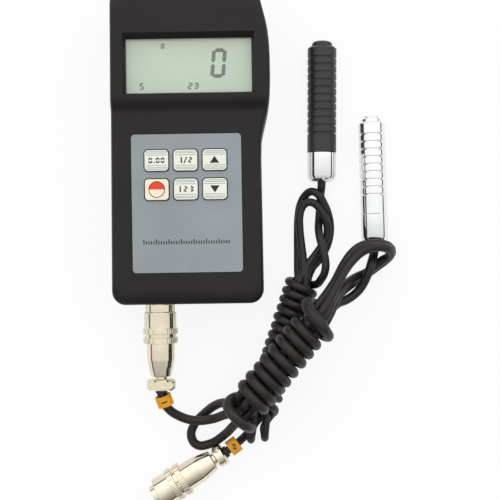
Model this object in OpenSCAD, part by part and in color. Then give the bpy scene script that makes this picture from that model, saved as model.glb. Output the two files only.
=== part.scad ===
// Handheld coating thickness gauge lying on its back, with two plug-in probes on hanked cords.
// Millimetres. +Z comes out of the display, +Y points to the head, the origin is the centre of the back.

/* [Case] */
// length of the case along Y
case_len = 127; // [118:1:140]
// width of the body along X, without its swelling and flare
case_w = 60; // [58:1:70]
// how far the left side has spread at the lower end
flare_left = 1.2; // [0:0.1:2]
// how far the right side has spread at the lower end
flare_right = 0.5; // [0:0.1:1.5]
// height of the keypad face above the back
keypad_z = 24.5; // [24:0.5:30]
// rise of the display head above the keypad face
head_rise = 2.5; // [1:0.5:4]
// height of the rear shell
rear_h = 6; // [5:0.5:7]
// wall thickness of both shells
wall = 2.4; // [2:0.1:2.6]
// corner radius of the outline
corner_r = 5.5; // [3:0.5:7]
// how far the right side swells beside the display
bulge = 4.2; // [3:0.1:6]
// half length of the swelling
bulge_len = 32; // [24:1:34]
// middle of the swelling along Y
bulge_y = 32; // [28:1:34]
// lower end of the step between keypad and head
step_low = 13.7; // [12:0.1:15]
// length of that step along Y
step_len = 5.4; // [3:0.1:7]
// width of the rounding along the front's long edges
edge_x = 1.7; // [1:0.1:2.5]
// width of the rounding along the front's two ends
edge_y = 6.5; // [2:0.1:8]
// height of the front rounding
edge_h = 3.2; // [2:0.1:4]
// radius of the back's edges
back_r = 2; // [1:0.1:2.4]
// draft of the side walls
draft = 0.3; // [0.1:0.1:0.6]

/* [Display] */
// width of the visible glass
lcd_w = 50; // [44:1:52]
// height of the visible glass
lcd_h = 21.4; // [18:0.2:23]
// middle of the glass along X
lcd_x = 1.6; // [0:0.1:2]
// middle of the glass along Y
lcd_y = 32.2; // [31:0.1:33]
// slope width of the recess at its top side
recess_top = 2.4; // [1:0.1:3]
// slope width of the recess at its left and right
recess_side = 1.3; // [0.5:0.1:2]
// slope width of the recess at its bottom side
recess_low = 0.6; // [0.3:0.1:1]
// rim of glass hidden behind the recess
lcd_rim = 1.6; // [1:0.1:2]
// thickness of the clear window
window_t = 1.4; // [1:0.1:1.6]
// thickness of the display cell
lcd_t = 2.7; // [2:0.1:2.8]

/* [Keypad] */
// width of the printed label
label_w = 44; // [42:0.5:48]
// height of the printed label
label_h = 55.4; // [52:0.2:57]
// middle of the label along Y
label_y = -22.7; // [-24:0.1:-22]
// thickness of the label
label_t = 0.4; // [0.2:0.1:0.6]
// key width along X
key_w = 9.6; // [8:0.1:10.2]
// key height along Y
key_h = 8.5; // [7:0.1:9.4]
// distance between key middles
key_pitch = 11.6; // [11.4:0.1:12.2]
// middle of the upper key row along Y
key_y = -5.5; // [-7:0.1:-5]
// how far a key stands proud of the label
key_proud = 0.7; // [0.6:0.1:1.2]
// travel of a key
key_travel = 0.5; // [0.3:0.1:0.5]
// clearance round a key
key_gap = 0.35; // [0.3:0.05:0.5]

/* [Inside] */
// thickness of the circuit board
board_t = 1.6; // [1:0.1:1.6]
// height of the board's upper face
board_z = 16.2; // [16:0.1:16.6]
// radius of a battery cell
cell_r = 5.2; // [5:0.1:5.25]
// length of a battery cell's can
cell_len = 43.3; // [42:0.1:43.6]
// thickness of the battery cover
cover_t = 1.7; // [1.4:0.1:1.8]
// width of the battery cover
cover_w = 42; // [40:0.5:42]
// lower end of the battery cover along Y
cover_y = 4; // [3:0.5:5]
// clearance of sliding and fitted parts
fit = 0.05; // [0.02:0.01:0.08]

/* [Plugs] */
// position of the panel socket along X
socket_x = -12.3; // [-14:0.1:-10]
// height of the panel socket's axis
socket_z = 13; // [12.8:0.1:13.6]
// length of the socket's collar outside the case
collar_len = 3; // [2.5:0.1:5]
// radius of the socket's collar
collar_r = 6; // [5.6:0.1:7]
// radius of the plug's nose
nose_r = 4.7; // [4.4:0.05:4.75]
// length of the nose beyond the locking sleeve
nose_len = 2.2; // [1.5:0.1:2.4]
// outer radius of the locking sleeve
sleeve_r = 6.5; // [6.2:0.1:7]
// outer radius of the front grip ring
ring_r = 7.1; // [6.9:0.1:7.4]
// length of the locking sleeve
sleeve_len = 12.7; // [12:0.1:13.4]
// travel of the locking sleeve
sleeve_travel = 2.5; // [1:0.1:2.6]
// radius of the backshell
backshell_r = 5.65; // [5.4:0.05:5.8]
// end of the backshell's taper from the sleeve's front
backshell_end = 26.4; // [25:0.1:27]
// width of the cord clamp
clamp_w = 11.8; // [10:0.1:12]
// thickness of the cord clamp
clamp_t = 8.2; // [7:0.1:9]
// length of the cord clamp
clamp_len = 4.4; // [4:0.1:5]
// height of the loose plug's axis at its front
loose_z = 7.56; // [7.4:0.02:8]
// turn of the loose plug seen from above
loose_turn = 31; // [30:0.5:32]

/* [Probes] */
// radius of the black probe's grip
black_r = 6; // [5.6:0.1:6.4]
// length of the black probe
black_len = 58.7; // [56:0.1:62]
// radius of the bright probe's grip
bright_r = 5.5; // [5.3:0.1:6]
// length of the bright probe
bright_len = 53; // [51:0.1:56]
// radius of the sliding tips
tip_r = 4.22; // [3.8:0.02:4.3]
// how far a tip stands out
tip_out = 2.7; // [2.5:0.1:4]
// travel of a tip
tip_travel = 2.2; // [1:0.1:2.3]
// distance between grip grooves
groove_pitch = 3.13; // [2.8:0.01:3.4]
// depth of a grip groove
groove_d = 0.35; // [0.2:0.05:0.5]

/* [Cords] */
// thickness of the cord of the bright probe
bright_cord_d = 3.8; // [3.4:0.1:3.8]
// thickness of the cord of the black probe
black_cord_d = 3.4; // [3:0.1:3.4]
// outer radius of the upper hank
hank_r = 8.2; // [7.8:0.1:8.4]
// outer radius of the lower hank
under_r = 7.25; // [7:0.05:7.3]

/* [Hidden] */

$fn = 48;
// the case is at least as wide as the display with its rim, frame and walls
lcd_side = 5;
hx = max(case_w, lcd_w + 2 * lcd_side) / 2;
hy = case_len / 2;
head_z = keypad_z + head_rise;
inside_z = keypad_z - wall;
window_z = head_z - wall;
lcd_z = window_z - window_t - 0.1;
e = 0.01;
// longer than any piece that a hole goes right through
through = 40;

// side stations of the case between its deepest corners, closer together along the head
side_reach = hy - draft - max(edge_y, back_r) - corner_r;
side_y = [for (f = [-0.97, -0.73, -0.4, -0.07, 0.055, 0.11, 0.165, 0.22, 0.26, 0.295, 0.33, 0.36, 0.395,
  0.445, 0.5, 0.555, 0.61, 0.67, 0.725, 0.78, 0.835, 0.89, 0.94, 0.97]) f * side_reach];
function swell(y) = let(t = abs(y - bulge_y) / bulge_len) t < 1 ? bulge * pow(1 - pow(t, 3), 2) : 0;
function flare(y, f) = f * (hy - y) / (2 * hy);
function rise(y) = let(t = min(1, max(0, (y - step_low) / step_len))) head_rise * t * t * (3 - 2 * t);

// one level of the case outline, inset by dx at the sides and dy at the ends
function ring(dx, dy, z, w, rc) = let(
  xr = hx - dx,
  yr = hy - dy,
  base = concat(
    [for (a = [-90:15:0]) [xr - rc + rc * cos(a), -yr + rc + rc * sin(a)]],
    [for (y = side_y) [xr, y]],
    [for (a = [0:15:90]) [xr - rc + rc * cos(a), yr - rc + rc * sin(a)]]),
  m = len(base))
  concat([for (p = base) [p[0] + swell(p[1]) + flare(p[1], flare_right), p[1], z + w * rise(p[1])]],
    [for (i = [m - 1:-1:0])
      [-base[i][0] - flare(base[i][1], flare_left), base[i][1], z + w * rise(base[i][1])]]);

// closed solid through a stack of outline levels
module loft(rings) {
  n = len(rings[0]);
  m = n / 2;
  k = len(rings);
  t = (k - 1) * n;
  polyhedron(points = [for (r = rings) each r], faces = concat(
    [for (j = [0:k - 2], i = [0:n - 1]) [j * n + i, (j + 1) * n + i, (j + 1) * n + (i + 1) % n]],
    [for (j = [0:k - 2], i = [0:n - 1]) [j * n + i, (j + 1) * n + (i + 1) % n, j * n + (i + 1) % n]],
    [for (i = [0:m - 2]) [t + i, t + n - 1 - i, t + n - 2 - i]],
    [for (i = [0:m - 2]) [t + i, t + n - 2 - i, t + i + 1]],
    [for (i = [0:m - 2]) [i, n - 2 - i, n - 1 - i]],
    [for (i = [0:m - 2]) [i, i + 1, n - 2 - i]]), convexity = 8);
}

module rounded(w, l, h, r) {
  hull()
    for (x = [-1, 1], y = [-1, 1])
      translate([x * (w / 2 - r), y * (l / 2 - r), 0])
        cylinder(r = r, h = h, $fn = 32);
}

module box(x0, x1, y0, y1, z0, z1) {
  translate([x0, y0, z0])
    cube([x1 - x0, y1 - y0, z1 - z0]);
}

// shared places of screws, keys and cells
screw_end_high = 13;
screw_end_low = 11;
screw_y_high = hy - screw_end_high;
screw_y_low = -hy + screw_end_low;
screw_x = hx - wall - 2;
screw_places = [for (y = [screw_y_high, screw_y_low], x = [-screw_x, screw_x]) [x, y]];
screw_r = 1.25;
screw_head_r = 2.5;
screw_head_h = 1.8;
screw_seat = 3;
screw_bite = 8;
slot_len = 3;
slot_w = 0.6;
board_x = hx - wall - 0.7;
board_high = 46;
board_low = -46;
post_places = [[-23, 2], [23, 2], [-23, -41.5], [23, -41.5]];
post_screw_r = 0.95;
post_bite = 3.7;
key_columns = [-key_pitch - 0.3, -0.3, key_pitch - 0.3];
key_rows = [key_y, key_y - key_pitch];
flange_z = inside_z - 0.15;
flange_t = 1;
flange_rim = 0.6;
switch_w = 6;
switch_h = 3.3;
switch_r = 1.7;
bay_x = 21.6;
bay_mid = 32;
bay_z = 13;
bay_wall = 1.2;
cover_lift = 0.2;
cover_top = cover_lift + cover_t;
tongue = 1;
cell_z = cover_top + 0.6 + cell_r;
cell_x = [-15.9, -5.3, 5.3, 15.9];
nub_len = 0.9;
plate_t = 0.4;
plate_w = 8;
plate_h = 8.8;
// the bay is as long as a cell with its nub, its two plates and its spring
cell_spring_len = 4.9;
cell_play = 0.1;
bay_len = cell_len + nub_len + 2 * plate_t + cell_spring_len + cell_play;
bay_low = bay_mid - bay_len / 2;
bay_high = bay_mid + bay_len / 2;

module front_shell() {
  color("#3a3636")
    difference() {
      union() {
        difference() {
          loft(concat([ring(0, 0, rear_h, 0, corner_r)],
            [for (a = [0:15:90]) ring(draft + edge_x * (1 - cos(a)), draft + edge_y * (1 - cos(a)),
              keypad_z - edge_h + edge_h * sin(a), 1, corner_r)]));
          loft([ring(wall, wall, rear_h - 1, 0, corner_r - 1.5),
            ring(wall + draft, wall + draft, keypad_z - edge_h - 1.2, 1, corner_r - 1.5),
            ring(wall + draft + 1, wall + draft + 1.6, inside_z, 1, corner_r - 1.5)]);
        }
        for (p = screw_places)
          translate([p[0], p[1], rear_h + 0.1])
            cylinder(r = 2.6, h = inside_z + rise(p[1]) - rear_h + 0.5);
        for (p = post_places)
          translate([p[0], p[1], board_z])
            cylinder(r = 2.2, h = inside_z - board_z + 0.5);
      }
      for (p = screw_places)
        translate([p[0], p[1], rear_h])
          cylinder(r = screw_r + fit, h = screw_bite + 1.5);
      for (p = post_places)
        translate([p[0], p[1], board_z - 1])
          cylinder(r = post_screw_r + fit, h = post_bite + 1.5);
      display_recess();
      translate([0, label_y, keypad_z - label_t])
        rounded(label_w + 0.4, label_h + 0.4, 3, 1.7);
      for (x = key_columns, y = key_rows)
        box(x - key_w / 2 - key_gap, x + key_w / 2 + key_gap, y - key_h / 2 - key_gap,
          y + key_h / 2 + key_gap, inside_z - 3, keypad_z + 1);
      translate([socket_x, -hy + 5, socket_z])
        rotate([90, 0, 0])
          cylinder(r = collar_r - 0.5 + fit, h = 10);
    }
}

// sloped hole over the display glass
module display_recess() {
  x0 = lcd_x - lcd_w / 2;
  x1 = lcd_x + lcd_w / 2;
  y0 = lcd_y - lcd_h / 2;
  y1 = lcd_y + lcd_h / 2;
  up = 1.04;
  polyhedron(points = [[x0, y0, window_z - 0.1], [x1, y0, window_z - 0.1], [x1, y1, window_z - 0.1],
    [x0, y1, window_z - 0.1], [x0 - recess_side * up, y0 - recess_low * up, head_z + 0.1],
    [x1 + recess_side * up, y0 - recess_low * up, head_z + 0.1],
    [x1 + recess_side * up, y1 + recess_top * up, head_z + 0.1],
    [x0 - recess_side * up, y1 + recess_top * up, head_z + 0.1]],
    faces = [[0, 1, 2, 3], [4, 5, 1, 0], [5, 6, 2, 1], [6, 7, 3, 2], [7, 4, 0, 3], [7, 6, 5, 4]]);
}

// outer form of the rear shell, shared with the battery cover
module rear_form() {
  loft(concat([for (a = [90:-18:0]) ring(draft + back_r * (1 - cos(a)), draft + back_r * (1 - cos(a)),
    back_r - back_r * sin(a), 0, corner_r)], [ring(0, 0, rear_h, 0, corner_r)]));
}

module rear_shell() {
  color("#302d2d")
    difference() {
      union() {
        difference() {
          rear_form();
          loft([ring(wall, wall, cover_top + 0.9, 0, corner_r - 1.5),
            ring(wall, wall, rear_h + 1, 0, corner_r - 1.5)]);
        }
        box(-bay_x - bay_wall, bay_x + bay_wall, bay_low - bay_wall, bay_high + bay_wall, 1,
          bay_z + bay_wall);
        for (p = screw_places)
          translate([p[0], p[1], 1])
            cylinder(r = 3, h = rear_h - 1);
      }
      box(-bay_x, bay_x, bay_low, bay_high, cover_top - 0.5, bay_z);
      cover_slot(0.15);
      for (p = screw_places) {
        translate([p[0], p[1], -1])
          cylinder(r = screw_head_r + 0.4, h = screw_seat + 1);
        translate([p[0], p[1], -1])
          cylinder(r = screw_r + 0.35, h = 12);
      }
    }
}

// room of the battery cover, with its side tongues
module cover_slot(gap) {
  box(-cover_w / 2 - gap, cover_w / 2 + gap, cover_y - gap, hy + 5, -1, cover_top + gap);
  box(-cover_w / 2 - tongue - gap, cover_w / 2 + tongue + gap, cover_y - gap, hy + 5,
    cover_top - 0.8 - gap, cover_top + gap);
}

module battery_cover() {
  color("#302d2d")
    difference() {
      intersection() {
        rear_form();
        union() {
          box(-cover_w / 2, cover_w / 2, cover_y, hy + 5, cover_lift, cover_top);
          box(-cover_w / 2 - tongue, cover_w / 2 + tongue, cover_y, hy + 5, cover_top - 0.8, cover_top);
        }
      }
      for (i = [0:5])
        translate([0, cover_y + 8 + i * 2.2, cover_lift - 1])
          rounded(18 - i * 2.4, 1, 1.5, 0.45);
    }
}

module display_window() {
  color("#dfe8e4")
    box(lcd_x - lcd_w / 2 - lcd_rim, lcd_x + lcd_w / 2 + lcd_rim, lcd_y - lcd_h / 2 - lcd_rim,
      lcd_y + lcd_h / 2 + lcd_rim, window_z - window_t, window_z);
}

module lcd_panel() {
  color("#c4d2bf")
    box(lcd_x - lcd_w / 2 - lcd_rim, lcd_x + lcd_w / 2 + lcd_rim, lcd_y - lcd_h / 2 - lcd_rim,
      lcd_y + lcd_h / 2 + lcd_rim, lcd_z - lcd_t, lcd_z);
}

module lcd_frame() {
  inner_w = lcd_w + 2 * lcd_rim + 0.3;
  inner_h = lcd_h + 2 * lcd_rim + 0.3;
  color("#24262a")
    translate([lcd_x, lcd_y, 0])
      difference() {
        box(-inner_w / 2 - 0.9, inner_w / 2 + 0.9, -inner_h / 2 - 0.9, inner_h / 2 + 0.9, board_z, lcd_z);
        box(-inner_w / 2, inner_w / 2, -inner_h / 2, inner_h / 2, board_z - 1, lcd_z + 1);
      }
}

module zebra_strips() {
  color("#55585c")
    for (s = [-1, 1])
      translate([lcd_x, lcd_y + s * (lcd_h / 2 + lcd_rim - 1.4), 0])
        box(-lcd_w / 2 + 2, lcd_w / 2 - 2, -1.1, 1.1, board_z, lcd_z - lcd_t);
}

module main_board() {
  color("#1f5a36")
    difference() {
      union() {
        box(-board_x, board_x, board_low, board_high, board_z - board_t, board_z);
        box(board_x - 1, board_x + 2.4, step_low + 3, board_high, board_z - board_t, board_z);
      }
      for (p = post_places)
        translate([p[0], p[1], board_z - board_t - 1])
          cylinder(r = post_screw_r + 0.15, h = board_t + 2);
    }
}

module key_label() {
  color("#97a0a4")
    translate([0, label_y, keypad_z - label_t])
      difference() {
        rounded(label_w, label_h, label_t, 1.5);
        for (x = key_columns, y = key_rows)
          translate([x, y - label_y, -1])
            rounded(key_w + 2 * key_gap, key_h + 2 * key_gap, label_t + 2, 1.7);
      }
}

// one key: cap through the label, flange under the shell
module key_cap(c, r) {
  translate([key_columns[c], key_rows[r], 0]) {
    translate([0, 0, flange_z - e])
      rounded(key_w, key_h, keypad_z + key_proud - flange_z + e, 1.5);
    box(-key_w / 2 - flange_rim, key_w / 2 + flange_rim, -key_h / 2 - flange_rim, key_h / 2 + flange_rim,
      flange_z - flange_t, flange_z);
  }
}
module key_zero() { color("#f1f1e8") key_cap(0, 0); }
module key_mode() { color("#f1f1e8") key_cap(1, 0); }
module key_up() { color("#f1f1e8") key_cap(2, 0); }
module key_power() { color("#f7e8cf") key_cap(0, 1); }
module key_select() { color("#f1f1e8") key_cap(1, 1); }
module key_down() { color("#f1f1e8") key_cap(2, 1); }

module key_switches() {
  color("#2b2b2d")
    for (x = key_columns, y = key_rows)
      translate([x, y, board_z]) {
        box(-switch_w / 2, switch_w / 2, -switch_w / 2, switch_w / 2, 0, switch_h);
        cylinder(r = switch_r, h = flange_z - flange_t - key_travel - 0.12 - board_z);
      }
}

module case_screws() {
  color("#8d9093")
    for (p = screw_places)
      translate([p[0], p[1], 0])
        difference() {
          union() {
            translate([0, 0, screw_seat - screw_head_h])
              cylinder(r = screw_head_r, h = screw_head_h);
            translate([0, 0, screw_seat - 0.1])
              cylinder(r = screw_r, h = rear_h + screw_bite - screw_seat + 0.1);
          }
          box(-slot_len / 2, slot_len / 2, -slot_w / 2, slot_w / 2, 0, screw_seat - 1);
          box(-slot_w / 2, slot_w / 2, -slot_len / 2, slot_len / 2, 0, screw_seat - 1);
        }
}

module board_screws() {
  color("#b9bbbd")
    for (p = post_places)
      translate([p[0], p[1], 0]) {
        translate([0, 0, board_z - board_t - 1.2])
          cylinder(r = 1.8, h = 1.2);
        translate([0, 0, board_z - board_t - 0.5])
          cylinder(r = post_screw_r, h = board_t + post_bite + 0.5);
      }
}

// battery cells lie side by side with their ends turned alternately
module cell(i) {
  s = i % 2 == 0 ? 1 : -1;
  translate([cell_x[i], bay_mid, cell_z])
    rotate([-90 * s, 0, 0])
      translate([0, 0, bay_len / 2 - plate_t - cell_play - nub_len - cell_len]) {
        cylinder(r = cell_r, h = cell_len);
        translate([0, 0, cell_len - e])
          cylinder(r = 1.9, h = nub_len + e);
      }
}

module battery_cells() {
  color("#c9a04a")
    for (i = [0:3])
      cell(i);
}

module battery_contacts() {
  color("#c8c9c6") {
    for (i = [0:3], s = [-1, 1])
      translate([cell_x[i], bay_mid + s * (bay_len / 2 - plate_t), cell_z])
        box(-plate_w / 2, plate_w / 2, s > 0 ? 0 : -plate_t, s > 0 ? plate_t : 0, -plate_h / 2, plate_h / 2);
    for (i = [0:3])
      translate([cell_x[i], bay_mid, cell_z])
        rotate([i % 2 == 0 ? 90 : -90, 0, 0])
          translate([0, 0, bay_len / 2 - plate_t - cell_spring_len + 0.3])
            coil(2.8, 0.3, cell_spring_len - 0.62, 3, 10, 5);
  }
}

// helical wire from z 0 to z h
module coil(r, wr, h, turns, per, sides) {
  n = turns * per;
  pts = [for (i = [0:n]) [r * cos(360 * i / per), r * sin(360 * i / per), wr + (h - 2 * wr) * i / n]];
  tube(pts, wr, sides, [0, 0, 1], undef, undef);
}

function unit(v) = v / norm(v);
// swept tube along a route, one ring of points at each route point
module tube(pts, r, sides, ref, t0, t1) {
  n = len(pts);
  dirs = [for (i = [0:n - 1]) i == 0 ? (is_undef(t0) ? unit(pts[1] - pts[0]) : t0)
    : i == n - 1 ? (is_undef(t1) ? unit(pts[n - 1] - pts[n - 2]) : t1) : unit(pts[i + 1] - pts[i - 1])];
  polyhedron(points = [for (i = [0:n - 1])
    let(s = unit(cross(dirs[i], ref)), u = cross(s, dirs[i]))
    for (k = [0:sides - 1])
      let(a = 360 * (k + 0.5) / sides) pts[i] + r * (cos(a) * s + sin(a) * u)],
    faces = concat(
      [for (i = [0:n - 2], k = [0:sides - 1])
        [i * sides + k, (i + 1) * sides + (k + 1) % sides, (i + 1) * sides + k]],
      [for (i = [0:n - 2], k = [0:sides - 1])
        [i * sides + k, i * sides + (k + 1) % sides, (i + 1) * sides + (k + 1) % sides]],
      [[for (k = [sides - 1:-1:0]) k]],
      [[for (k = [0:sides - 1]) (n - 1) * sides + k]]), convexity = 6);
}

// panel socket in the lower end, axis along -Y
module at_socket() {
  translate([socket_x, -hy, socket_z])
    rotate([90, 0, 0])
      children();
}
socket_bore = nose_len + 0.4;
socket_nut_t = 2.2;
barrel_len = 11;
barrel_bore = 4;

module socket_shell() {
  color("#d9cfb8")
    at_socket()
      difference() {
        union() {
          cylinder(r = collar_r, h = collar_len);
          translate([0, 0, -barrel_len])
            cylinder(r = collar_r - 0.5, h = barrel_len + e);
        }
        translate([0, 0, collar_len - socket_bore])
          cylinder(r = nose_r + 0.15, h = socket_bore + 1);
        translate([0, 0, -barrel_len - 1])
          cylinder(r = barrel_bore, h = barrel_len + collar_len + 2);
      }
}

module socket_nut() {
  color("#c9c2b2")
    at_socket()
      translate([0, 0, -wall - draft - 0.05 - socket_nut_t])
        difference() {
          cylinder(r = collar_r + 1.6, h = socket_nut_t, $fn = 6);
          translate([0, 0, -1])
            cylinder(r = collar_r - 0.5 + fit, h = socket_nut_t + 2);
        }
}

pin_places = [[1.7, 1.7], [-1.7, 1.7], [-1.7, -1.7], [1.7, -1.7]];
pin_r = 0.45;
insert_back = -9;

module socket_insert() {
  color("#23211f")
    at_socket()
      difference() {
        translate([0, 0, insert_back])
          cylinder(r = barrel_bore - fit, h = collar_len - socket_bore - insert_back);
        for (p = pin_places)
          translate([p[0], p[1], insert_back - 1])
            cylinder(r = pin_r + fit, h = through, $fn = 24);
      }
}

module socket_pins() {
  color("#d8b25a")
    at_socket()
      for (p = pin_places)
        translate([p[0], p[1], insert_back - 2])
          cylinder(r = pin_r, h = collar_len - insert_back + 5, $fn = 24);
}

// both plugs share one set of pieces, axis from the sleeve's front toward the cord
module at_plug() {
  translate([socket_x, -hy - collar_len - 0.1, socket_z])
    rotate([90, 0, 0])
      children();
}
loose_x = -14.4;
loose_y = -142.5;
loose_dip = 2.5;
module at_loose() {
  translate([loose_x, loose_y, loose_z])
    rotate([0, 0, loose_turn])
      rotate([0, 90 + loose_dip, 0])
        children();
}
seat = 8;
taper_at = 19;
bore_r = 4.1;
insert_r = 3.9;
lip = 1.2;
neck_r = 2.45;
clamp_at = backshell_end + 1.2;
bush_r = 2.4;
wire_r = 3;
wire_room = 14;
clamp_screw_at = clamp_w / 2 - 2.1;
clamp_screw_r = 0.8;
clamp_sink = 1.3;
bush_len = 1.3;
plug_end = clamp_at + clamp_len + bush_len;

module shell_piece() {
  difference() {
    union() {
      translate([0, 0, -nose_len])
        cylinder(r = nose_r, h = nose_len + seat);
      translate([0, 0, seat - e])
        cylinder(r = bore_r - fit, h = 5);
    }
    translate([0, 0, -nose_len - 1])
      cylinder(r = insert_r, h = nose_len + seat);
    translate([0, 0, -1])
      cylinder(r = wire_r, h = through);
  }
}

module insert_piece() {
  difference() {
    translate([0, 0, 0.2 - nose_len])
      cylinder(r = insert_r - fit, h = nose_len + seat - 1.3);
    for (p = pin_places)
      translate([p[0], p[1], -nose_len - 1])
        cylinder(r = pin_r + 0.15, h = nose_len + 5.5, $fn = 24);
  }
}

// locking sleeve: plain front, two grip rings and a groove between them with two windows
module sleeve_piece() {
  difference() {
    rotate_extrude()
      polygon([[nose_r + fit, 0], [sleeve_r - 0.3, 0], [sleeve_r, 0.3], [sleeve_r, 6.6], [ring_r, 6.6],
        [ring_r, 8.9], [sleeve_r - 0.1, 8.9], [sleeve_r - 0.1, 10.3], [ring_r - 0.1, 10.3],
        [ring_r - 0.1, sleeve_len], [backshell_r + fit, sleeve_len], [backshell_r + fit, lip],
        [nose_r + fit, lip]]);
    for (s = [-1, 1])
      translate([s > 0 ? sleeve_r - 0.45 : -sleeve_r - 1, -1.1, 9])
        cube([1.45, 2.2, 1.2]);
  }
}

module spring_piece() {
  translate([0, 0, lip + 0.05])
    coil(nose_r + 0.5, 0.25, seat - lip - 0.1, 5, 14, 6);
}

module backshell_piece(cord_d) {
  difference() {
    rotate_extrude()
      polygon([[0, seat], [backshell_r, seat], [backshell_r, taper_at], [backshell_r - 0.55, taper_at + 3],
        [4.2, backshell_end - 0.4], [3.9, backshell_end], [neck_r, backshell_end], [neck_r, clamp_at],
        [0, clamp_at]]);
    translate([0, 0, seat - 1])
      cylinder(r = bore_r, h = wire_room);
    translate([0, 0, seat])
      cylinder(r = cord_d / 2 + fit, h = through);
  }
}

module clamp_piece(cord_d) {
  difference() {
    translate([0, 0, clamp_at])
      hull()
        for (s = [-1, 1], z = [0, 1])
          translate([s * (clamp_w - clamp_t) / 2, 0, z * 0.7])
            cylinder(r = clamp_t / 2 - 0.7 + z * 0.7, h = clamp_len - 1.4 * z, $fn = 32);
    translate([0, 0, clamp_at - 1])
      cylinder(r = cord_d / 2 + fit, h = clamp_len + 2);
    for (s = [-1, 1])
      translate([s * clamp_screw_at, 0, clamp_at + clamp_len / 2])
        rotate([90, 0, 0])
          cylinder(r = clamp_screw_r + fit, h = through, center = true, $fn = 24);
    for (s = [-1, 1])
      translate([s * clamp_screw_at, clamp_t / 2 - clamp_sink, clamp_at + clamp_len / 2])
        rotate([-90, 0, 0])
          cylinder(r = 1.6, h = 5, $fn = 24);
  }
}

module clamp_screw_pair() {
  for (s = [-1, 1])
    translate([s * clamp_screw_at, 0, clamp_at + clamp_len / 2])
      rotate([-90, 0, 0])
        difference() {
          union() {
            translate([0, 0, 1.4 - clamp_t / 2])
              cylinder(r = clamp_screw_r, h = clamp_t - 2 * clamp_sink, $fn = 24);
            translate([0, 0, clamp_t / 2 - clamp_sink])
              cylinder(r = 1.45, h = 0.8, $fn = 24);
          }
          box(-1.2, 1.2, -0.2, 0.2, clamp_t / 2 - 0.9, clamp_t);
        }
}

module bush_piece(cord_d) {
  translate([0, 0, clamp_at + 0.1])
    cylinder(r = cord_d / 2, h = clamp_len);
  translate([0, 0, clamp_at + clamp_len])
    cylinder(r = bush_r, h = bush_len);
}

module plug_shell() { color("#d9cfb8") at_plug() shell_piece(); }
module plug_insert() { color("#23211f") at_plug() insert_piece(); }
module plug_sleeve() { color("#e6dcc6") at_plug() sleeve_piece(); }
module plug_spring() { color("#b9bbbd") at_plug() spring_piece(); }
module plug_backshell() { color("#e6dcc6") at_plug() backshell_piece(bright_cord_d); }
module plug_clamp() { color("#e0d6bf") at_plug() clamp_piece(bright_cord_d); }
module plug_bush() { color("#2a2727") at_plug() bush_piece(bright_cord_d); }
module loose_shell() { color("#d9cfb8") at_loose() shell_piece(); }
module loose_insert() { color("#23211f") at_loose() insert_piece(); }
module loose_sleeve() { color("#e6dcc6") at_loose() sleeve_piece(); }
module loose_spring() { color("#b9bbbd") at_loose() spring_piece(); }
module loose_backshell() { color("#e6dcc6") at_loose() backshell_piece(black_cord_d); }
module loose_clamp() { color("#e0d6bf") at_loose() clamp_piece(black_cord_d); }
module loose_bush() { color("#2a2727") at_loose() bush_piece(black_cord_d); }
module clamp_screws() {
  color("#cfc6b2") {
    at_plug() clamp_screw_pair();
    at_loose() clamp_screw_pair();
  }
}

// marker tag: a flat sleeve over the cord just behind its plug
tag_w = 6.8;
tag_t = 5.2;
tag_len = 4.6;
tag_gap = 1.1;
module tag_piece(p0, p1, cord_d) {
  d = p1 - p0;
  translate(p0 + tag_gap * unit(d))
    rotate([0, acos(d[2] / norm(d)), atan2(d[1], d[0])])
      difference() {
        hull()
          for (s = [-1, 1])
            translate([0, s * (tag_w - tag_t) / 2, 0])
              cylinder(r = tag_t / 2, h = tag_len, $fn = 32);
        translate([0, 0, -1])
          cylinder(r = cord_d / 2 + 0.3, h = tag_len + 2);
      }
}
module plug_tag() { color("#e9a11f") tag_piece(lead[0], lead[1], bright_cord_d); }
module loose_tag() { color("#e9a11f") tag_piece(under_lead[0], under_lead[1], black_cord_d); }

// probes lie on the table, axis from the tip toward the tail
black_tip_at = [56.3, 44.9];
black_lean = 1.07;
bright_tip_at = [76.3, 13.4];
bright_lean = -0.86;
bright_lift = 0.1;
module at_black() {
  translate([black_tip_at[0], black_tip_at[1], black_r])
    rotate([0, 0, -black_lean])
      rotate([90, 0, 0])
        children();
}
module at_bright() {
  translate([bright_tip_at[0], bright_tip_at[1], bright_r + bright_lift])
    rotate([0, 0, -bright_lean])
      rotate([90, 0, 0])
        children();
}
guide_len = 19;
spring_room = 12;
tail_len = 12.2;
entry = 1.3;
pole_r = 1.6;
bright_joint = bright_len - tail_len;
black_joint = black_len - tail_len;

// grip sleeve with rounded grooves round it
module grip_piece(r, from, to, first, count) {
  difference() {
    rotate_extrude()
      difference() {
        polygon([[tip_r + fit, from], [r - 0.8, from], [r, from + 0.8], [r, to], [tip_r + fit, to]]);
        for (i = [0:count - 1])
          translate([r + 0.5 - groove_d, first + i * groove_pitch])
            circle(r = 0.5, $fn = 24);
      }
  }
}
module tip_piece(rim) {
  difference() {
    rotate_extrude()
      polygon([[0, 0.5], [tip_r - 0.9, 0.5], [tip_r - rim, 0.5 + 0.3], [tip_r, 0.5 + rim + 0.3],
        [tip_r, tip_out + guide_len], [0, tip_out + guide_len]]);
    cylinder(r = pole_r + fit, h = 10);
  }
}
module pole_piece() {
  rotate_extrude()
    polygon([[0, 0], [0.7, 0.05], [1.2, 0.35], [pole_r, 0.9], [pole_r, 10], [0, 10]]);
}
module probe_spring_piece() {
  translate([0, 0, tip_out + guide_len + 0.1])
    coil(3, 0.35, spring_room - 0.2, 5, 14, 6);
}
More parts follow.
